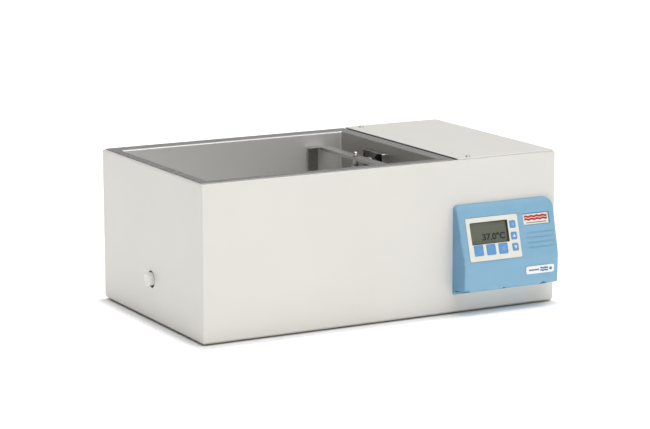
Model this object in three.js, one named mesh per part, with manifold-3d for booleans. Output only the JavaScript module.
// A bench-top shaking water bath: a stainless tank in a painted sheet-metal casing, with a tray that a
// crank and slot drive to and fro along X, and a moulded controller on the front.
//
// Millimetres, +Z up, +X to the user's right, and the front faces -Y. While it is modelled, X runs from the
// casing's left edge, Y from its front face and Z from its lower edge. At the end the whole bath is moved,
// so that its origin is the middle of the underside of its bounding box.
import * as THREE from "three";
import { mergeVertices } from "three/addons/utils/BufferGeometryUtils.js";
import Module from "manifold-3d";

const wasm = await Module();
wasm.setup();

// ---------------------------------------------------------------- driving dimensions

const GAP = 0.3; // between pieces that touch on the real bath
const RUNNING = 0.4; // around a shaft in its bearing
const ROUND = 24; // sides of a round piece
const FINE = 16; // sides of a small round piece

const CASE = { length: 610, depth: 360, height: 234.5, sheet: 1.2, bend: 3, flange: 6 };
const PAN = { below: 2.8, wall: 14, clearance: 0.3, sheet: 1.2 };
const PAN_FLOOR = -PAN.below + PAN.sheet + GAP;
const FOOT = { floor: -5, radius: 11, stem: 3.6, inset: 32 };

// The tank hangs by a rim that rests on the casing's flange and slopes slightly inwards.
const RIM_TOP = CASE.height + 1.3;
const RIM_DROP = 0.8;
const TANK = {
  x0: 22,
  x1: 412,
  y0: 28,
  y1: 332,
  floor: 87,
  sheet: 1,
  corner: 2,
  floorBend: 3,
  rim: 18.5,
  rightRim: 17.5,
  endRim: 24.5,
};
const INSULATION = { thickness: 10.5, bottom: 72, floor: 80, top: 228 };
const HEATER = { x0: 72, x1: 372, y0: 60, y1: 300, bottom: 83 };
const LIMIT = { x: 222, y: 180 };
const PROBE = { y: 250, z: 93.6, tip: 350, radius: 2, fitting: 6 };

const COVER = { x0: 433.5, inset: 2.4, top: CASE.height + 2.5, sheet: 1.2, screwX: 455.5 };
const COVER_SCREW_Y = { front: 9, rear: CASE.depth - 17.5 };
const CROSS_RAIL = { x0: 434, x1: 463, sheet: 1.2, depth: 17 };

// The rod that shakes the tray, and the crank that drives it. STROKE is the tray's whole travel.
const STROKE = 25.4;
const CRANK_RADIUS = STROKE / 2;
const DRIVE = { y: 206, z: 205.3, rod: 4, rodX0: 384, rodX1: 486, crankX: 500 };
const DECK = { top: 188, sheet: 2, x0: 440, x1: 550, y0: 150, y1: 274, foot: 12 };
const BEARING = { x0: 442, x1: 458, halfBase: 18, base: 5, halfTop: 5, shoulder: 6, top: 10 };
const GEARBOX_HEIGHT = 38;
const CRANK = { disc: 20, discBottom: 190, discTop: 195, shaft: 4, pin: 2.5, roller: 4 };
// A slot wide enough for a pin that runs in a circle while the joint model moves it at an even rate.
const SLOT = { halfWidth: 7, halfLength: 18.5, rail: 5, thickness: 4 };

const YOKE = {
  x0: 366,
  x1: 383,
  top: 214,
  sheet: 2,
  lip: 5,
  legX0: 348,
  legY: 33,
  flange: 3.2,
  landing: 10,
};
const STUD = { x: 372.5, y: 213, radius: 3 };
const ARM = { x0: 365, x1: 394.5, width: 32, sheet: 3, earTop: 7, earWidth: 20 };
const GLAND = { neck: 7, face: 10.5, proud: 4, length: 17 };
const GUARD = { x0: 399.5, halfWidth: 31.5, top: 220.8, bottom: 182, sheet: 1.2 };
const TRAY = { x0: 42, x1: 392, y: 33.6, floor: 100, wall: 25, sheet: 1.2, holeRadius: 13 };

const DRAIN = { y: 180, z: 61, x: 50, bore: 5, outer: 7.7, end: -3.6, hole: 13 };

// The controller: a wedge whose face leans back above a kink.
const WEDGE = {
  x0: 424,
  x1: 601,
  bottom: 25.6,
  top: 165.4,
  depth: 32,
  kink: 80,
  lean: THREE.MathUtils.degToRad(16),
  wall: 3,
  draft: 4,
};
// Positions on the leaning face: x across, s up the slope from the kink, and n outwards.
const BEZEL = { x0: 437.2, x1: 530.7, s0: 0.9, s1: 68, bottom: -1, top: 0.4 };
const LCD = { x0: 444.5, x1: 511.2, s0: 27, s1: 60 };
const KEY_CLEARANCE = 0.35;
const KEYS = [
  { name: "key_left", x: 454.4, s: 17.4, width: 16, height: 15.8 },
  { name: "key_middle", x: 476.5, s: 17.2, width: 16, height: 15.8 },
  { name: "key_right", x: 498.4, s: 17.1, width: 16, height: 15.8 },
  { name: "key_menu", x: 520.5, s: 52.5, width: 10.4, height: 11 },
  { name: "key_up", x: 520.5, s: 34.6, width: 10.4, height: 11 },
  { name: "key_down", x: 520.5, s: 17.1, width: 10.4, height: 11 },
];
const BADGE = { x0: 541.5, x1: 588.5, s0: 48.6, s1: 66, recess: 2 };
const LABEL = { x0: 537.4, x1: 588.6, z0: 51.8, z1: 64, height: 0.8 };
const RIBS = { x0: 545, x1: 590, first: 12.6, pitch: 7.6, count: 4, depth: 1.2, width: 4 };

const POWER_BOARD = { x: 594, thickness: 1.6, y0: 120, y1: 250, z0: 40, z1: 150 };
const TRANSFORMER = { x0: 452, x1: 516, y0: 288, y1: 327, height: 48 };
const HEAT_SINK = { x0: 536, x1: 590, y0: 290, y1: 318, plate: 5, height: 26, fins: 5 };
const CONTROL_BOARD = { x0: 438, x1: 530, s0: 3, s1: 66, back: -9.6, front: -8 };

const REAR = { z: 46, inletX: 560, switchX: 512, fuseX: 474 };
// Rows of cooling slots: each starts at x and has slots of one size, pitch apart.
const REAR_VENTS = { x: 462, pitch: 16, count: 8, halfWidth: 1.6, z0: 120, z1: 168 };
const BASE_VENTS = { x: 470, pitch: 20, count: 6, width: 6, y0: 56, y1: 136 };
// The cut in the casing's front, behind the controller, that its wiring runs through.
const CABLE_SLOT = { x0: 470, x1: 560, z0: 64, z1: 104 };
const ROCKER = { pivotDepth: 3, tilt: THREE.MathUtils.degToRad(7) };

// ---------------------------------------------------------------- materials

function finish(color, roughness, metalness = 0) {
  return new THREE.MeshStandardMaterial({ color, roughness, metalness });
}

const paint = finish(0xe0dbd4, 0.45);
const stainless = finish(0xa9a6a0, 0.3, 1);
const zinc = finish(0xb4b6b4, 0.5, 1);
const blackPlastic = finish(0x242424, 0.5);
const blackRubber = finish(0x1c1c1c, 0.85);
const creamPlastic = finish(0xe4dfd2, 0.5);
const blueShell = finish(0x82b0ca, 0.42);
const blueKey = finish(0x6ea2d3, 0.5);
const whitePanel = finish(0xe6e4dc, 0.4);
const lcdGlass = finish(0x84887a, 0.25);
const clearPane = new THREE.MeshStandardMaterial({
  color: 0xffffff,
  roughness: 0.05,
  transparent: true,
  opacity: 0.25,
});
const foam = finish(0xd8cfae, 0.95);
const siliconeMat = finish(0xb8562c, 0.8);
const circuitGreen = finish(0x2e6b3f, 0.6);
const motorGrey = finish(0x5a5e62, 0.45, 0.6);
const acetal = finish(0xf0efea, 0.5);

// ---------------------------------------------------------------- solids

// A geometry as a manifold-3d solid.
function solid(geometry) {
  const bare = geometry.clone();
  bare.deleteAttribute("normal");
  bare.deleteAttribute("uv");
  const merged = mergeVertices(bare, 1e-4);
  const data = new wasm.Mesh({
    numProp: 3,
    vertProperties: merged.attributes.position.array,
    triVerts: new Uint32Array(merged.index.array),
  });
  return new wasm.Manifold(data);
}

function joined(...solids) {
  return solids.reduce((all, next) => all.add(next));
}

function without(body, ...cutters) {
  return cutters.reduce((left, cutter) => left.subtract(cutter), body);
}

// A solid as a geometry for a mesh.
function geometryOf(body) {
  const data = body.getMesh();
  const position = new Float32Array(data.numVert * 3);
  for (let i = 0; i < data.numVert; i++) {
    position.set(data.vertProperties.subarray(i * data.numProp, i * data.numProp + 3), i * 3);
  }
  const geometry = new THREE.BufferGeometry();
  geometry.setAttribute("position", new THREE.BufferAttribute(position, 3));
  geometry.setIndex(new THREE.BufferAttribute(data.triVerts, 1));
  geometry.computeVertexNormals();
  return geometry;
}

function box(x0, x1, y0, y1, z0, z1) {
  const geometry = new THREE.BoxGeometry(x1 - x0, y1 - y0, z1 - z0);
  return solid(geometry.translate((x0 + x1) / 2, (y0 + y1) / 2, (z0 + z1) / 2));
}

// Round bars: from one end to the other along one axis.
function barX(radius, x0, x1, y, z, sides = ROUND) {
  const geometry = new THREE.CylinderGeometry(radius, radius, x1 - x0, sides).rotateZ(Math.PI / 2);
  return solid(geometry.translate((x0 + x1) / 2, y, z));
}

function barY(radius, x, y0, y1, z, sides = ROUND) {
  const geometry = new THREE.CylinderGeometry(radius, radius, y1 - y0, sides);
  return solid(geometry.translate(x, (y0 + y1) / 2, z));
}

function barZ(radius, x, y, z0, z1, sides = ROUND) {
  const geometry = new THREE.CylinderGeometry(radius, radius, z1 - z0, sides).rotateX(Math.PI / 2);
  return solid(geometry.translate(x, y, (z0 + z1) / 2));
}

// A turned piece about the vertical line through (x, y). The profile is [radius, z] pairs, going up.
function turnedZ(x, y, profile, sides = ROUND) {
  const points = profile.map(([radius, z]) => new THREE.Vector2(radius, z));
  return solid(new THREE.LatheGeometry(points, sides).rotateX(Math.PI / 2).translate(x, y, 0));
}

// A turned piece about the line along X at (y, z). The profile is [radius, x] pairs, towards +X.
function turnedX(y, z, profile, sides = ROUND) {
  const points = profile.map(([radius, x]) => new THREE.Vector2(radius, x));
  return solid(new THREE.LatheGeometry(points, sides).rotateZ(-Math.PI / 2).translate(0, y, z));
}

// An outline of [y, z] points, swept from x0 to x1.
function sweptX(points, x0, x1) {
  const shape = new THREE.Shape(points.map(([y, z]) => new THREE.Vector2(y, z)));
  const geometry = new THREE.ExtrudeGeometry(shape, { depth: x1 - x0, bevelEnabled: false });
  geometry.applyMatrix4(new THREE.Matrix4().set(0, 0, 1, x0, 1, 0, 0, 0, 0, 1, 0, 0, 0, 0, 0, 1));
  return solid(geometry);
}

// The points of a rounded rectangle, anticlockwise from above. radii is one radius or four, which go round
// from the corner at (x1, y1).
function roundedRectangle(x0, x1, y0, y1, radii, steps = 3) {
  const [r0, r1, r2, r3] = Array.isArray(radii) ? radii : [radii, radii, radii, radii];
  const corners = [
    [x1 - r0, y1 - r0, r0, 0],
    [x0 + r1, y1 - r1, r1, 1],
    [x0 + r2, y0 + r2, r2, 2],
    [x1 - r3, y0 + r3, r3, 3],
  ];
  const points = [];
  for (const [cx, cy, radius, quarter] of corners) {
    for (let i = 0; i <= steps; i++) {
      const angle = ((quarter + i / steps) * Math.PI) / 2;
      points.push([cx + radius * Math.cos(angle), cy + radius * Math.sin(angle)]);
    }
  }
  return points;
}

// One rounded rectangle at a height, as a ring of a loft.
function ring(x0, x1, y0, y1, radii, z, steps) {
  return roundedRectangle(x0, x1, y0, y1, radii, steps).map(([x, y]) => [x, y, z]);
}

// A skin over rings of equal counts. A closed loft joins its last ring to its first, as a frame does. An
// open one closes both ends with a flat cap. Rings go up on the outside and down on the inside.
function loft(rings, closed = false) {
  const count = rings[0].length;
  const points = rings.flat();
  const faces = [];
  const bands = closed ? rings.length : rings.length - 1;
  for (let band = 0; band < bands; band++) {
    const lower = band * count;
    const upper = ((band + 1) % rings.length) * count;
    for (let i = 0; i < count; i++) {
      const next = (i + 1) % count;
      faces.push([lower + i, lower + next, upper + next], [lower + i, upper + next, upper + i]);
    }
  }
  if (!closed) {
    const last = (rings.length - 1) * count;
    for (let i = 1; i < count - 1; i++) {
      faces.push([0, i + 1, i], [last, last + i, last + i + 1]);
    }
  }
  const geometry = new THREE.BufferGeometry();
  geometry.setAttribute("position", new THREE.BufferAttribute(new Float32Array(points.flat()), 3));
  geometry.setIndex(faces.flat());
  return solid(geometry);
}

// An upright block with rounded vertical edges.
function block(x0, x1, y0, y1, z0, z1, radius, steps) {
  return loft([ring(x0, x1, y0, y1, radius, z0, steps), ring(x0, x1, y0, y1, radius, z1, steps)]);
}

// ---------------------------------------------------------------- casing, base and feet

function caseRing(inset, z) {
  const radius = Math.max(CASE.bend - inset, 0.5);
  return ring(inset, CASE.length - inset, inset, CASE.depth - inset, radius, z);
}

function rearCutouts() {
  const wall = [CASE.depth - 5, CASE.depth + 5];
  const inlet = box(REAR.inletX - 14.5, REAR.inletX + 14.5, ...wall, REAR.z - 11, REAR.z + 11);
  const rocker = box(REAR.switchX - 11, REAR.switchX + 11, ...wall, REAR.z - 14.5, REAR.z + 14.5);
  const fuse = barY(6.4, REAR.fuseX, ...wall, REAR.z, FINE);
  return [inlet, rocker, fuse];
}

function rearVents() {
  const { x, pitch, count, halfWidth, z0, z1 } = REAR_VENTS;
  const wall = [CASE.depth - 5, CASE.depth + 5];
  const slots = [];
  for (let i = 0; i < count; i++) {
    const middle = x + i * pitch;
    slots.push(box(middle - halfWidth, middle + halfWidth, ...wall, z0, z1));
  }
  return slots;
}

function outerCasing() {
  const { height, sheet, flange } = CASE;
  const shell = loft(
    [
      caseRing(0, 0),
      caseRing(0, height - 2.4),
      caseRing(0.7, height - 0.7),
      caseRing(2.4, height),
      caseRing(flange, height),
      caseRing(flange, height - sheet),
      caseRing(sheet, height - sheet),
      caseRing(sheet, 0),
    ],
    true,
  );
  const drainHole = barX(DRAIN.hole, -5, 5, DRAIN.y, DRAIN.z);
  const cableSlot = box(CABLE_SLOT.x0, CABLE_SLOT.x1, -5, 5, CABLE_SLOT.z0, CABLE_SLOT.z1);
  return without(shell, drainHole, cableSlot, ...rearCutouts(), ...rearVents());
}

function footPlaces() {
  const xs = { left: FOOT.inset, right: CASE.length - FOOT.inset };
  const ys = { front: FOOT.inset, rear: CASE.depth - FOOT.inset };
  return Object.entries(ys).flatMap(([end, y]) =>
    Object.entries(xs).map(([side, x]) => ({ name: `foot_${end}_${side}`, x, y })),
  );
}

function panRing(inset, z) {
  const edge = CASE.sheet + PAN.clearance + inset;
  return ring(edge, CASE.length - edge, edge, CASE.depth - edge, 2, z);
}

function basePan() {
  const { below, wall, sheet } = PAN;
  const pan = loft([
    panRing(2, -below),
    panRing(0, -below + 2),
    panRing(0, wall),
    panRing(sheet, wall),
    panRing(sheet, -below + sheet + 1.4),
    panRing(sheet + 1.4, -below + sheet),
  ]);
  const footHoles = footPlaces().map(({ x, y }) => barZ(FOOT.stem + GAP, x, y, -8, 8, FINE));
  const { x: ventX, pitch, count, width, y0, y1 } = BASE_VENTS;
  const vents = [];
  for (let i = 0; i < count; i++) {
    const x = ventX + i * pitch;
    vents.push(box(x, x + width, y0, y1, -8, 8));
  }
  return without(pan, ...footHoles, ...vents);
}

// A rubber foot: a pad under the pan, and a stem through it with a lip above.
function foot() {
  const under = -PAN.below - GAP;
  const over = -PAN.below + PAN.sheet + GAP;
  const profile = [
    [0, FOOT.floor],
    [FOOT.radius - 1, FOOT.floor],
    [FOOT.radius, FOOT.floor + 0.8],
    [FOOT.radius, under],
    [FOOT.stem, under],
    [FOOT.stem, over],
    [FOOT.stem + 1.2, over],
    [FOOT.stem - 0.4, over + 4],
    [0, over + 4],
  ];
  return turnedZ(0, 0, profile);
}

// ---------------------------------------------------------------- tank

// A ring round the tank. reach is how far it lies outside the inner wall on the left. On the other sides the
// part beyond the sheet grows in step with their rims.
function tankRing(reach, z) {
  const { x0, x1, y0, y1, corner, sheet, rim, rightRim, endRim } = TANK;
  const beyond = Math.max(reach - sheet, 0) / (rim - sheet);
  const right = Math.min(reach, sheet) + beyond * (rightRim - sheet);
  const end = Math.min(reach, sheet) + beyond * (endRim - sheet);
  return ring(x0 - reach, x1 + right, y0 - end, y1 + end, corner, z, 1);
}

function tank() {
  const { floor, sheet, floorBend, rim } = TANK;
  const seat = CASE.height + GAP;
  const slopeFoot = RIM_TOP - RIM_DROP;
  const shell = loft([
    tankRing(sheet - floorBend, floor - sheet),
    tankRing(sheet, floor - sheet + floorBend),
    tankRing(sheet, slopeFoot - sheet - 1.8),
    tankRing(sheet + 1.6, slopeFoot - sheet),
    tankRing(rim - 3, seat),
    tankRing(rim, seat),
    tankRing(rim, RIM_TOP - 0.4),
    tankRing(rim - 0.6, RIM_TOP),
    tankRing(rim - 2.6, RIM_TOP),
    tankRing(2.2, slopeFoot),
    tankRing(0, slopeFoot - 2.4),
    tankRing(0, floor + floorBend),
    tankRing(-floorBend, floor),
  ]);
  const drain = barZ(DRAIN.outer + GAP, DRAIN.x, DRAIN.y, floor - 5, floor + 5, FINE);
  const gland = barX(GLAND.neck + GAP, TANK.x1 - 5, TANK.x1 + 5, DRIVE.y, DRIVE.z);
  const probe = barX(PROBE.radius + 0.6, TANK.x1 - 15, TANK.x1 + 5, PROBE.y, PROBE.z, FINE);
  return without(shell, drain, gland, probe);
}

function insulationRing(inset, z) {
  const reach = INSULATION.thickness + TANK.sheet + GAP - inset;
  const radius = INSULATION.thickness + 1.5 - inset;
  return ring(TANK.x0 - reach, TANK.x1 + reach, TANK.y0 - reach, TANK.y1 + reach, radius, z);
}

function tankInsulation() {
  const { thickness, bottom, floor, top } = INSULATION;
  const blanket = loft([
    insulationRing(0, bottom),
    insulationRing(0, top),
    insulationRing(thickness, top),
    insulationRing(thickness, floor),
  ]);
  const drain = barZ(14, DRAIN.x, DRAIN.y, bottom - 5, floor + 5);
  const thermostat = barZ(12, LIMIT.x, LIMIT.y, bottom - 5, floor + 5);
  const gland = barX(14, TANK.x1, TANK.x1 + 20, DRIVE.y, DRIVE.z);
  const probe = barX(9, TANK.x1, TANK.x1 + 20, PROBE.y, PROBE.z);
  return without(blanket, drain, thermostat, gland, probe);
}

function heaterPad() {
  const top = TANK.floor - TANK.sheet - GAP;
  return block(HEATER.x0, HEATER.x1, HEATER.y0, HEATER.y1, HEATER.bottom, top, 12);
}

// A snap disc thermostat under the heater, with two blade terminals.
function limitThermostat() {
  const top = HEATER.bottom - GAP;
  const body = turnedZ(LIMIT.x, LIMIT.y, [
    [0, top - 11],
    [7, top - 11],
    [8, top - 8],
    [8, top - 2],
    [9.5, top - 2],
    [9.5, top],
    [0, top],
  ]);
  const blades = [-4, 4].map((side) =>
    box(LIMIT.x + side - 0.4, LIMIT.x + side + 0.4, LIMIT.y - 3, LIMIT.y + 3, top - 19, top - 10),
  );
  return joined(body, ...blades);
}

// A sheathed sensor that lies under the tray, and its fitting outside the tank.
function temperatureProbe() {
  const outside = TANK.x1 + TANK.sheet + GAP;
  const { y, z, tip, radius, fitting } = PROBE;
  const profile = [
    [0, tip],
    [radius - 0.6, tip + 0.6],
    [radius, tip + 2],
    [radius, outside],
    [fitting, outside],
    [fitting, outside + 8],
    [fitting - 2.6, outside + 10],
    [fitting - 2.6, outside + 24],
    [0, outside + 24],
  ];
  return turnedX(y, z, profile, FINE);
}

// ---------------------------------------------------------------- drain

// A bulkhead elbow: a flange inside the tank, and a spout through the left wall.
function drainElbow() {
  const { x, y, z, bore, outer, end } = DRAIN;
  const flangeTop = TANK.floor + GAP + 1.6;
  const upright = barZ(outer, x, y, z, flangeTop);
  const flange = barZ(12, x, y, TANK.floor + GAP, flangeTop);
  const spout = barX(outer - 0.7, end, x, y, z);
  const collar = barX(outer + 2, 16, 24, y, z, 6);
  const corner = barX(outer, x - 14, x + outer, y, z);
  const passages = [barZ(bore, x, y, z, flangeTop + 5), barX(bore, end - 5, x, y, z)];
  return without(joined(upright, flange, spout, collar, corner), ...passages);
}

function drainElbowNut() {
  const top = TANK.floor - TANK.sheet - GAP;
  const nut = barZ(12.5, DRAIN.x, DRAIN.y, top - 6, top, 6);
  return without(nut, barZ(DRAIN.outer + GAP, DRAIN.x, DRAIN.y, top - 10, top + 5));
}

// The rubber plug that seals the spout, carried by the cap.
function drainPlug() {
  const face = DRAIN.end - GAP;
  return turnedX(DRAIN.y, DRAIN.z, [
    [0, face - 1.8],
    [7.4, face - 1.8],
    [7.4, face],
    [4.4, face],
    [3.8, face + 4],
    [0, face + 4],
  ]);
}

// A screw cap with a fluted grip.
function drainCap() {
  const inner = DRAIN.end - 2 * GAP - 1.8;
  const outer = inner - 2.4;
  const skirt = 9;
  const cup = turnedX(DRAIN.y, DRAIN.z, [
    [0, outer],
    [9.6, outer],
    [10.8, outer + 1.2],
    [11.1, skirt],
    [8.2, skirt],
    [8.2, inner],
    [0, inner],
  ], 36);
  const flutes = [];
  for (let i = 0; i < 12; i++) {
    const angle = (i / 12) * 2 * Math.PI;
    const y = DRAIN.y + 12 * Math.cos(angle);
    const z = DRAIN.z + 12 * Math.sin(angle);
    flutes.push(barX(1.6, outer - 1, skirt - 2, y, z, 8));
  }
  return without(cup, ...flutes);
}

// ---------------------------------------------------------------- cover over the control bay

function coverRing(inset, z) {
  const edge = COVER.inset + inset;
  const radius = Math.max(2.5 - inset, 0.5);
  return ring(COVER.x0 + inset, CASE.length - edge, edge, CASE.depth - edge, radius, z);
}

function coverScrewHoles(z) {
  return Object.values(COVER_SCREW_Y).map((y) => barZ(2, COVER.screwX, y, z - 5, z + 5, FINE));
}

function topCover() {
  const { top, sheet } = COVER;
  const lid = loft([
    coverRing(0, CASE.height + GAP),
    coverRing(0, top - 1),
    coverRing(1, top),
  ]);
  const hollow = loft([coverRing(sheet, CASE.height - 5), coverRing(sheet, top - sheet)]);
  return without(lid, hollow, ...coverScrewHoles(top));
}

// A pan-head screw, standing on the cover at the group's origin.
function coverScrew() {
  const screw = turnedZ(0, 0, [
    [0, -9],
    [1.6, -9],
    [1.6, GAP],
    [3.9, GAP],
    [3.9, 1],
    [3, 2.1],
    [0, 2.5],
  ]);
  const cross = [box(-2.2, 2.2, -0.5, 0.5, 1.3, 5), box(-0.5, 0.5, -2.2, 2.2, 1.3, 5)];
  return without(screw, ...cross);
}

// The rail that ties front to back between the tank and the control bay.
function crossRail() {
  const { x0, x1, sheet, depth } = CROSS_RAIL;
  const top = CASE.height - CASE.sheet - GAP;
  const [y0, y1] = [CASE.sheet + GAP, CASE.depth - CASE.sheet - GAP];
  const flange = box(x0, x1, y0, y1, top - sheet, top);
  const web = box(x0, x0 + sheet, y0, y1, top - depth, top);
  return without(joined(flange, web), ...coverScrewHoles(top));
}

// ---------------------------------------------------------------- shaking drive

function glandGuard() {
  const { x0, halfWidth, top, bottom, sheet } = GUARD;
  const [y0, y1] = [DRIVE.y - halfWidth, DRIVE.y + halfWidth];
  const outline = [
    [y0, bottom],
    [y0 + sheet, bottom],
    [y0 + sheet, top - sheet],
    [y1 - sheet, top - sheet],
    [y1 - sheet, bottom],
    [y1, bottom],
    [y1, top],
    [y0, top],
  ];
  return sweptX(outline, x0, TANK.x1 - GAP);
}

function glandBush() {
  const wall = TANK.x1 - GAP;
  const bore = DRIVE.rod + RUNNING;
  const { neck, face, proud, length } = GLAND;
  const profile = [
    [bore, wall - proud],
    [face - 2, wall - proud],
    [face, wall - proud + 1.5],
    [face, wall],
    [neck, wall],
    [neck, wall + length],
    [bore, wall + length],
    [bore, wall - proud],
  ];
  return turnedX(DRIVE.y, DRIVE.z, profile);
}

function glandNut() {
  const x0 = TANK.x1 + TANK.sheet + GAP;
  return without(
    barX(12, x0, x0 + 6, DRIVE.y, DRIVE.z, 6),
    barX(GLAND.neck + GAP, x0 - 5, x0 + 12, DRIVE.y, DRIVE.z),
  );
}

function driveRod() {
  const { rod, rodX0, rodX1, y, z } = DRIVE;
  return turnedX(y, z, [
    [0, rodX0],
    [rod - 0.6, rodX0],
    [rod, rodX0 + 0.8],
    [rod, rodX1],
    [0, rodX1],
  ]);
}

// A plate under the yoke that carries the rod in an upturned ear.
function driveArm() {
  const top = DRIVE.z - DRIVE.rod - GAP;
  const { x0, x1, width, sheet, earTop, earWidth } = ARM;
  const [y, halfWidth, halfEar] = [DRIVE.y, width / 2, earWidth / 2];
  const plate = block(x0, x1, y - halfWidth, y + halfWidth, top - sheet, top, [2, 10, 10, 2]);
  const ear = box(x1 - sheet, x1, y - halfEar, y + halfEar, top - 1, DRIVE.z + earTop);
  const rodHole = barX(DRIVE.rod + GAP, x1 - sheet - 5, x1 + 5, y, DRIVE.z);
  const studHole = barZ(STUD.radius + GAP, STUD.x, STUD.y, top - 8, top + 5, FINE);
  return without(joined(plate, ear), rodHole, studHole);
}

// The bridge over the tray: a bar with a lip, and a channel-shaped leg at each end.
function yokeLeg(side) {
  const { legX0, x0, top, sheet, legY, flange, landing } = YOKE;
  const y = (inwards) => CASE.depth / 2 + side * (CASE.depth / 2 - legY - inwards);
  const span = (a, b) => [y(a), y(b)].sort((low, high) => low - high);
  const web = box(legX0, x0, ...span(-sheet, 0), TRAY.floor + 2, top - 1);
  const sides = [legX0, x0 - sheet].map((x) =>
    box(x, x + sheet, ...span(-flange, -1), TRAY.floor + TRAY.wall + 5, top - 1),
  );
  const shelf = box(legX0, x0 + 5, ...span(-flange, landing), top - sheet, top);
  return joined(web, shelf, ...sides);
}

function yoke() {
  const { x0, x1, top, sheet, lip, legY, flange, landing } = YOKE;
  const bar = box(x0, x1, legY - flange, CASE.depth - legY + flange, top - sheet, top);
  const lipStrip = box(x0, x0 + 1.2, legY + landing, CASE.depth - legY - landing, top - lip, top - 1);
  const studHole = barZ(STUD.radius + GAP, STUD.x, STUD.y, top - 8, top + 5, FINE);
  return without(joined(bar, lipStrip, yokeLeg(-1), yokeLeg(1)), studHole);
}

function yokeStud() {
  const armUnder = DRIVE.z - DRIVE.rod - GAP - ARM.sheet;
  return barZ(STUD.radius, STUD.x, STUD.y, armUnder - 9, YOKE.top + 5, FINE);
}

function studSpacer() {
  const bottom = DRIVE.z - DRIVE.rod;
  const top = YOKE.top - YOKE.sheet - GAP;
  return without(
    barZ(4.4, STUD.x, STUD.y, bottom, top, FINE),
    barZ(STUD.radius + GAP, STUD.x, STUD.y, bottom - 5, top + 5, FINE),
  );
}

// A domed nut on the yoke. Its blind hole clears the stud.
function acornNut() {
  const base = YOKE.top + GAP;
  const dome = turnedZ(STUD.x, STUD.y, [
    [0, base],
    [4.6, base],
    [4.6, base + 3.4],
    [3.9, base + 5.4],
    [2.4, base + 7],
    [0, base + 7.6],
  ]);
  return without(dome, barZ(STUD.radius + GAP, STUD.x, STUD.y, base - 5, YOKE.top + 5 + GAP, FINE));
}

function studLockNut() {
  const top = DRIVE.z - DRIVE.rod - 2 * GAP - ARM.sheet;
  return without(
    barZ(5.8, STUD.x, STUD.y, top - 5, top, 6),
    barZ(STUD.radius + GAP, STUD.x, STUD.y, top - 10, top + 5, FINE),
  );
}

function trayRing(inset, z) {
  const radius = Math.max(5 - inset, 1);
  const y = TRAY.y + inset;
  return ring(TRAY.x0 + inset, TRAY.x1 - inset, y, CASE.depth - y, radius, z, 2);
}

// The perforated tray that carries the flasks.
function shakerTray() {
  const { floor, wall, sheet, holeRadius } = TRAY;
  const pan = loft([
    trayRing(1.5, floor),
    trayRing(0, floor + 1.5),
    trayRing(0, floor + wall),
    trayRing(sheet, floor + wall),
    trayRing(sheet, floor + sheet + 1),
    trayRing(sheet + 1, floor + sheet),
  ]);
  const holes = [];
  for (let column = 0; column < 6; column++) {
    for (let row = 0; row < 4; row++) {
      const x = TRAY.x0 + 42.5 + column * 53;
      const y = CASE.depth / 2 + (row - 1.5) * 62;
      holes.push(barZ(holeRadius, x, y, floor - 5, floor + 5, 12));
    }
  }
  return without(pan, ...holes);
}

// One of the two low-friction strips under the tray, centred on y.
function trayGlide(y) {
  const top = TRAY.floor - GAP;
  return block(TRAY.x0 + 20, TRAY.x1 - 20, y - 4, y + 4, TANK.floor + GAP, top, 2, 2);
}

// The sheet-metal bench that holds the motor under it and the bearing on it.
function driveBracket() {
  const { top, sheet, x0, x1, y0, y1, foot: reach } = DECK;
  const bottom = PAN_FLOOR;
  const outline = [
    [y0 - reach, bottom],
    [y0 + sheet, bottom],
    [y0 + sheet, top - sheet],
    [y1 - sheet, top - sheet],
    [y1 - sheet, bottom],
    [y1 + reach, bottom],
    [y1 + reach, bottom + sheet],
    [y1, bottom + sheet],
    [y1, top],
    [y0, top],
    [y0, bottom + sheet],
    [y0 - reach, bottom + sheet],
  ];
  return without(sweptX(outline, x0, x1), barZ(9, DRIVE.crankX, DRIVE.y, top - 5, top + 5));
}

function gearbox() {
  const top = DECK.top - DECK.sheet - GAP;
  const [x, y] = [DRIVE.crankX, DRIVE.y];
  const housing = block(x - 32, x + 32, y - 30, y + 30, top - GEARBOX_HEIGHT, top, 6);
  return without(housing, barZ(CRANK.shaft + RUNNING, x, y, top - 26, top + 5));
}

function driveMotor() {
  const top = DECK.top - DECK.sheet - 2 * GAP - GEARBOX_HEIGHT;
  return turnedZ(DRIVE.crankX, DRIVE.y, [
    [0, top - 70],
    [8, top - 70],
    [10, top - 66],
    [26, top - 66],
    [29, top - 62],
    [29, top],
    [0, top],
  ]);
}

// The crank disc on its shaft. Its pin is set in a hole towards the front.
function crankDisc() {
  const { disc, discBottom, discTop, shaft, pin } = CRANK;
  const body = turnedZ(DRIVE.crankX, DRIVE.y, [
    [0, DECK.top - 24],
    [shaft, DECK.top - 24],
    [shaft, discBottom - 1],
    [8, discBottom - 1],
    [8, discBottom],
    [disc, discBottom],
    [disc, discTop],
    [0, discTop],
  ]);
  const pinY = DRIVE.y - CRANK_RADIUS;
  const pinHole = barZ(pin + GAP, DRIVE.crankX, pinY, discBottom - 5, discTop + 5, FINE);
  return without(body, pinHole);
}

function crankPin() {
  const { discBottom, discTop, pin, roller } = CRANK;
  return turnedZ(DRIVE.crankX, DRIVE.y - CRANK_RADIUS, [
    [0, discBottom + 0.5],
    [pin, discBottom + 0.5],
    [pin, discTop + GAP],
    [roller, discTop + GAP],
    [roller, DRIVE.z + 5],
    [roller - 0.8, DRIVE.z + 5.8],
    [0, DRIVE.z + 5.8],
  ]);
}

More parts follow.
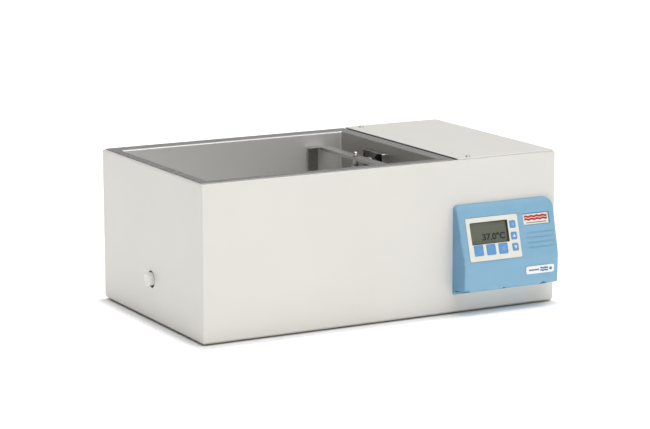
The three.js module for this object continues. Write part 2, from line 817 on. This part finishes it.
// The slotted plate on the rod's end, which the crank pin pushes to and fro.
function slotPlate() {
  const { halfWidth, halfLength, rail, thickness } = SLOT;
  const [x, y, z] = [DRIVE.crankX, DRIVE.y, DRIVE.z];
  const [z0, z1] = [z - thickness / 2, z + thickness / 2];
  const outerX = halfWidth + rail;
  const outerY = halfLength + rail;
  const plate = block(x - outerX, x + outerX, y - outerY, y + outerY, z0, z1, 6);
  const [slotX, slotY] = [halfWidth, halfLength];
  const slot = block(x - slotX, x + slotX, y - slotY, y + slotY, z0 - 5, z1 + 5, slotX - 0.1, 5);
  const socket = barX(7, x - 26, x - halfWidth - 1, y, z);
  const rodHole = barX(DRIVE.rod + GAP, x - 30, DRIVE.rodX1 + GAP, y, z);
  return without(joined(plate, socket), slot, rodHole);
}

function rodBearing() {
  const { x0, x1, halfBase, base, halfTop, shoulder, top } = BEARING;
  const { y, z } = DRIVE;
  const half = [
    [halfBase, DECK.top + GAP],
    [halfBase, DECK.top + base],
    [2 * halfTop, z + shoulder],
    [halfTop, z + top],
  ];
  const mirrored = half.map(([across, height]) => [y - across, height]).reverse();
  const body = sweptX([...half.map(([across, height]) => [y + across, height]), ...mirrored], x0, x1);
  return without(body, barX(DRIVE.rod + RUNNING, x0 - 5, x1 + 5, y, z));
}

// ---------------------------------------------------------------- electrics in the control bay

// An upright board with two relays, two capacitors, a regulator and a row of terminals.
function powerBoard() {
  const { x, thickness, y0, y1, z0, z1 } = POWER_BOARD;
  const board = box(x, x + thickness, y0, y1, z0, z1);
  const onBoard = (height, across, length, up, rise) =>
    box(x - height, x + 1, y0 + across, y0 + across + length, z0 + up, z0 + up + rise);
  const relays = [15, 45].map((up) => onBoard(16, 10, 30, up, 20));
  const capacitors = [62, 84].map((across) => barX(8, x - 24, x + 1, y0 + across, z0 + 30));
  const regulator = onBoard(6, 60, 36, 50, 24);
  const terminals = onBoard(10, 12, y1 - y0 - 24, z1 - z0 - 14, 10);
  return joined(board, ...relays, ...capacitors, regulator, terminals);
}

function transformer() {
  const { x0, x1, y0, y1, height } = TRANSFORMER;
  const core = box(x0 + 6, x1 - 6, y0 + 10, y1 - 10, PAN_FLOOR, PAN_FLOOR + height);
  const coil = block(x0 + 15, x1 - 15, y0, y1, PAN_FLOOR + 9, PAN_FLOOR + height - 9, 6);
  const base = box(x0, x1, y0 + 12, y1 - 12, PAN_FLOOR, PAN_FLOOR + 2);
  return joined(core, coil, base);
}

// The heater's solid-state relay on its finned heat sink.
function heaterRelay() {
  const { x0, x1, y0, y1, plate: plateHeight, height, fins: finCount } = HEAT_SINK;
  const seat = PAN_FLOOR + plateHeight;
  const plate = box(x0, x1, y0, y1, PAN_FLOOR, seat);
  const fins = [];
  for (let i = 0; i < finCount; i++) {
    const x = x0 + 20 + i * 8;
    fins.push(box(x, x + 2, y0, y1, seat - 1, PAN_FLOOR + height));
  }
  const relay = box(x0 + 1, x0 + 17, y0 + 2, y1 - 2, seat - 1, PAN_FLOOR + height - 2);
  return joined(plate, relay, ...fins);
}

// A three-pin appliance inlet in the rear wall.
function mainsInlet() {
  const [x, z, y] = [REAR.inletX, REAR.z, CASE.depth];
  const flange = box(x - 25, x + 25, y + GAP, y + 3, z - 14, z + 14);
  const body = box(x - 14, x + 14, y - 18, y + 1, z - 10.5, z + 10.5);
  const socket = box(x - 12, x + 12, y - 14, y + 5, z - 8.5, z + 8.5);
  const pins = [
    [-7, -2],
    [0, 2],
    [7, -2],
  ].map(([across, up]) => {
    const [pinX, pinZ] = [x + across, z + up];
    return box(pinX - 1, pinX + 1, y - 16, y - 1, pinZ - 2.5, pinZ + 2.5);
  });
  return joined(without(joined(flange, body), socket), ...pins);
}

function mainsSwitchBody() {
  const [x, z, y] = [REAR.switchX, REAR.z, CASE.depth];
  const flange = box(x - 12.5, x + 12.5, y + GAP, y + 2.2, z - 16, z + 16);
  const body = box(x - 10.5, x + 10.5, y - 20, y + 1, z - 14, z + 14);
  const well = box(x - 8.6, x + 8.6, y - 12, y + 5, z - 12.2, z + 12.2);
  return without(joined(flange, body), well);
}

// A rocker about its own pivot, which runs along X through the group's origin.
function mainsRocker() {
  const half = [
    [7.6, 9.6],
    [5.6, 10.6],
    [-1, 10.4],
    [-6, 4],
  ];
  const mirrored = half.map(([y, z]) => [y, -z]).reverse();
  return sweptX([[6.2, 0], ...half, ...mirrored], -8.2, 8.2);
}

function fuseHolder() {
  const profile = [
    [0, 30],
    [6, 30],
    [6, -GAP],
    [8.5, -GAP],
    [8.5, -3],
    [6.6, -3.4],
    [6.2, -8.6],
    [5.6, -9],
    [0, -9],
  ].map(([radius, inwards]) => new THREE.Vector2(radius, -inwards));
  const turned = solid(new THREE.LatheGeometry(profile, FINE).translate(REAR.fuseX, CASE.depth, REAR.z));
  const face = CASE.depth + 9;
  const slot = box(REAR.fuseX - 4, REAR.fuseX + 4, face - 1.4, face + 3, REAR.z - 0.6, REAR.z + 0.6);
  return without(turned, slot);
}

// ---------------------------------------------------------------- controller

// How far the wedge's outer face stands out at height z, above the kink.
function leanDepth(z) {
  return WEDGE.depth - Math.tan(WEDGE.lean) * (z - WEDGE.kink);
}

// The wedge's side profile, inset by a wall all round except at the back.
function wedgeProfile(wall) {
  const { bottom, top, depth, kink } = WEDGE;
  const crown = 5;
  const lip = leanDepth(top - crown) - wall;
  return [
    [0, bottom + wall],
    [-depth + wall + 1, bottom + 9 + wall],
    [-depth + wall, kink],
    [-lip, top - crown - wall / 2],
    [-lip * 0.62, top - 1.2 - wall],
    [-lip * 0.3, top - wall],
    [0, top - wall],
  ];
}

// The wedge's outline from the front, narrowing towards its face.
function wedgeOutline(wall) {
  const { x0, x1, bottom, top, depth, draft } = WEDGE;
  const frontRing = (inset, y) => {
    const radii = [16, 7, 5, 7].map((radius) => radius - wall);
    const points = roundedRectangle(x0 + inset, x1 - inset, bottom - 6 + wall, top - wall, radii, 4);
    return points.map(([x, z]) => [x, y, z]).reverse();
  };
  return loft([frontRing(wall, 0.01), frontRing(wall + draft, -depth - 4)].reverse());
}

function wedge(wall) {
  const profile = wedgeProfile(wall);
  return sweptX(profile.reverse(), WEDGE.x0 - 5, WEDGE.x1 + 5).intersect(wedgeOutline(wall));
}

const PANEL_MATRIX = new THREE.Matrix4()
  .makeRotationX(Math.PI / 2 - WEDGE.lean)
  .setPosition(0, -WEDGE.depth, WEDGE.kink);

// A block in the leaning face's own directions, given in the wedge's: x, s up the slope, n outwards.
function panelBlock(x0, x1, s0, s1, n0, n1, radius) {
  const geometry = geometryOf(block(x0, x1, s0, s1, n0, n1, radius));
  return solid(geometry.applyMatrix4(PANEL_MATRIX));
}

function ribGrooves() {
  const grooves = [];
  for (let i = 0; i < RIBS.count; i++) {
    const s = RIBS.first + i * RIBS.pitch;
    const groove = new THREE.CylinderGeometry(1, 1, RIBS.x1 - RIBS.x0, 8).rotateZ(Math.PI / 2);
    groove.scale(1, RIBS.width / 2, RIBS.depth).translate((RIBS.x0 + RIBS.x1) / 2, s, 0);
    grooves.push(solid(groove.applyMatrix4(PANEL_MATRIX)));
  }
  return grooves;
}

function controllerHousing() {
  const seat = panelBlock(BEZEL.x0 - GAP, BEZEL.x1 + GAP, BEZEL.s0 - GAP, BEZEL.s1 + GAP, -1.3, 8, 3);
  const window = panelBlock(BEZEL.x0 + 3, BEZEL.x1 - 3, BEZEL.s0 + 4, BEZEL.s1 - 4, -20, 8, 3);
  const badge = panelBlock(BADGE.x0, BADGE.x1, BADGE.s0, BADGE.s1, -BADGE.recess, 8, 1.5);
  return without(wedge(0), wedge(WEDGE.wall), seat, window, badge, ...ribGrooves());
}

function controllerBackplate() {
  const inset = WEDGE.wall + 1.5;
  const plate = box(WEDGE.x0 + inset, WEDGE.x1 - inset, -2.3, -GAP, WEDGE.bottom + 7, WEDGE.top - 14);
  const { x0, x1, z0, z1 } = CABLE_SLOT;
  const cableHole = box(x0 + 10, x1 - 10, -5, 5, z0 + 6, z1 - 6);
  return without(plate, cableHole);
}

function keypadBezel() {
  const { x0, x1, s0, s1, bottom, top } = BEZEL;
  const plate = block(x0, x1, s0, s1, bottom, top, 3);
  const window = block(LCD.x0, LCD.x1, LCD.s0, LCD.s1, bottom - 5, top + 5, 1);
  const keyHoles = KEYS.map(({ x, s, width, height }) => {
    const [w, h] = [width / 2 + KEY_CLEARANCE, height / 2 + KEY_CLEARANCE];
    return block(x - w, x + w, s - h, s + h, bottom - 5, top + 5, 2);
  });
  return without(plate, window, ...keyHoles);
}

function lcdWindow() {
  return block(LCD.x0 - 2.2, LCD.x1 + 1.6, LCD.s0 - 0.6, LCD.s1 + 2, -2.3, -1.3, 1);
}

function lcdModule() {
  const glass = block(LCD.x0 - 2, LCD.x1 + 1.6, LCD.s0 - 0.8, LCD.s1 + 2, -6, -3.8, 1);
  const tray = block(LCD.x0 - 3, LCD.x1 + 2.4, LCD.s0 - 1.6, LCD.s1 + 3, -7.6, -5.5, 1);
  return joined(glass, tray);
}

// A key cap with a retaining flange behind the bezel, centred on its own origin.
function keyCap(width, height) {
  const [w, h] = [width / 2, height / 2];
  const edge = 0.9;
  return loft([
    ring(-w - edge, w + edge, -h - edge, h + edge, 2, -3.2, 2),
    ring(-w - edge, w + edge, -h - edge, h + edge, 2, -1.5, 2),
    ring(-w, w, -h, h, 2, -1.5, 2),
    ring(-w, w, -h, h, 2, 0.8, 2),
    ring(-w + 0.5, w - 0.5, -h + 0.5, h - 0.5, 1.7, 1.2, 2),
  ]);
}

function controlBoard() {
  const { x0, x1, s0, s1, back, front } = CONTROL_BOARD;
  const board = box(x0, x1, s0, s1, back, front);
  const buzzer = box(x0 + 12, x0 + 28, s0 + 3, s0 + 17, front - 1, front + 2.4);
  const processor = box(x0 + 36, x0 + 48, s0 + 5, s0 + 15, front - 1, front + 1.6);
  const socket = box(x0 + 56, x0 + 72, s0 + 3, s0 + 9, front - 1, front + 3.4);
  return joined(board, buzzer, processor, socket);
}

function badgePlate() {
  const edge = 0.5;
  const { x0, x1, s0, s1, recess } = BADGE;
  return block(x0 + edge, x1 - edge, s0 + edge, s1 - edge, -recess + GAP, -0.7, 1);
}

function nameLabel() {
  const y = -WEDGE.depth - GAP;
  const outline = roundedRectangle(LABEL.x0, LABEL.x1, LABEL.z0, LABEL.z1, 3);
  const rings = [y, y - LABEL.height].map((depth) => outline.map(([x, z]) => [x, depth, z]));
  return loft(rings);
}

// ---------------------------------------------------------------- assembly

function piece(name, body, material) {
  const mesh = new THREE.Mesh(geometryOf(body), material);
  mesh.name = name;
  return mesh;
}

function placed(mesh, x, y, z) {
  mesh.position.set(x, y, z);
  return mesh;
}

function casingGroup() {
  const group = new THREE.Group();
  group.add(piece("outer_casing", outerCasing(), paint));
  group.add(piece("base_pan", basePan(), zinc));
  for (const { name, x, y } of footPlaces()) {
    group.add(placed(piece(name, foot(), blackRubber), x, y, 0));
  }
  group.add(piece("top_cover", topCover(), paint));
  for (const [end, y] of Object.entries(COVER_SCREW_Y)) {
    const screw = piece(`cover_screw_${end}`, coverScrew(), stainless);
    group.add(placed(screw, COVER.screwX, y, COVER.top));
  }
  group.add(piece("cross_rail", crossRail(), zinc));
  return group;
}

function tankGroup() {
  const group = new THREE.Group();
  group.add(piece("tank", tank(), stainless));
  group.add(piece("tank_insulation", tankInsulation(), foam));
  group.add(piece("heater_pad", heaterPad(), siliconeMat));
  group.add(piece("limit_thermostat", limitThermostat(), blackPlastic));
  group.add(piece("temperature_probe", temperatureProbe(), stainless));
  group.add(piece("drain_elbow", drainElbow(), acetal));
  group.add(piece("drain_elbow_nut", drainElbowNut(), acetal));
  group.add(piece("drain_plug", drainPlug(), blackRubber));
  group.add(piece("drain_cap", drainCap(), creamPlastic));
  return group;
}

function driveGroup() {
  const group = new THREE.Group();
  group.add(piece("gland_guard", glandGuard(), stainless));
  group.add(piece("gland_bush", glandBush(), blackPlastic));
  group.add(piece("gland_nut", glandNut(), blackPlastic));
  group.add(piece("drive_bracket", driveBracket(), zinc));
  group.add(piece("rod_bearing", rodBearing(), acetal));
  group.add(piece("gearbox", gearbox(), motorGrey));
  group.add(piece("drive_motor", driveMotor(), motorGrey));
  group.add(piece("crank_disc", crankDisc(), zinc));
  group.add(piece("crank_pin", crankPin(), zinc));
  return group;
}

function carriageGroup() {
  const group = new THREE.Group();
  group.add(piece("drive_rod", driveRod(), stainless));
  group.add(piece("slot_plate", slotPlate(), zinc));
  group.add(piece("drive_arm", driveArm(), stainless));
  group.add(piece("yoke", yoke(), stainless));
  group.add(piece("yoke_stud", yokeStud(), stainless));
  group.add(piece("stud_spacer", studSpacer(), stainless));
  group.add(piece("acorn_nut", acornNut(), stainless));
  group.add(piece("stud_lock_nut", studLockNut(), stainless));
  group.add(piece("shaker_tray", shakerTray(), stainless));
  group.add(piece("tray_glide_front", trayGlide(66), acetal));
  group.add(piece("tray_glide_rear", trayGlide(CASE.depth - 66), acetal));
  return group;
}

function electricsGroup() {
  const group = new THREE.Group();
  group.add(piece("power_board", powerBoard(), circuitGreen));
  group.add(piece("transformer", transformer(), motorGrey));
  group.add(piece("heater_relay", heaterRelay(), blackPlastic));
  group.add(piece("mains_inlet", mainsInlet(), blackPlastic));
  group.add(piece("mains_switch_body", mainsSwitchBody(), blackPlastic));
  const rocker = placed(
    piece("mains_rocker", mainsRocker(), blackPlastic),
    REAR.switchX,
    CASE.depth - ROCKER.pivotDepth,
    REAR.z,
  );
  rocker.rotation.x = ROCKER.tilt;
  group.add(rocker);
  group.add(piece("fuse_holder", fuseHolder(), blackPlastic));
  return group;
}

function facePanelGroup() {
  const group = new THREE.Group();
  group.add(piece("keypad_bezel", keypadBezel(), whitePanel));
  group.add(piece("lcd_window", lcdWindow(), clearPane));
  group.add(piece("lcd_module", lcdModule(), lcdGlass));
  group.add(piece("control_board", controlBoard(), circuitGreen));
  group.add(piece("badge_plate", badgePlate(), whitePanel));
  for (const { name, x, s, width, height } of KEYS) {
    group.add(placed(piece(name, keyCap(width, height), blueKey), x, s, 0));
  }
  group.rotation.x = Math.PI / 2 - WEDGE.lean;
  group.position.set(0, -WEDGE.depth, WEDGE.kink);
  return group;
}

function controllerGroup() {
  const group = new THREE.Group();
  group.add(piece("controller_housing", controllerHousing(), blueShell));
  group.add(piece("controller_backplate", controllerBackplate(), blackPlastic));
  group.add(piece("name_label", nameLabel(), whitePanel));
  group.add(facePanelGroup());
  return group;
}

const bath = new THREE.Group();
bath.add(casingGroup(), tankGroup(), driveGroup(), carriageGroup(), electricsGroup(), controllerGroup());

// The origin: the middle of the underside of the bounding box.
const bounds = new THREE.Box3().setFromObject(bath);
const centre = bounds.getCenter(new THREE.Vector3());
bath.position.set(-centre.x, -centre.y, -bounds.min.z);

export default bath;
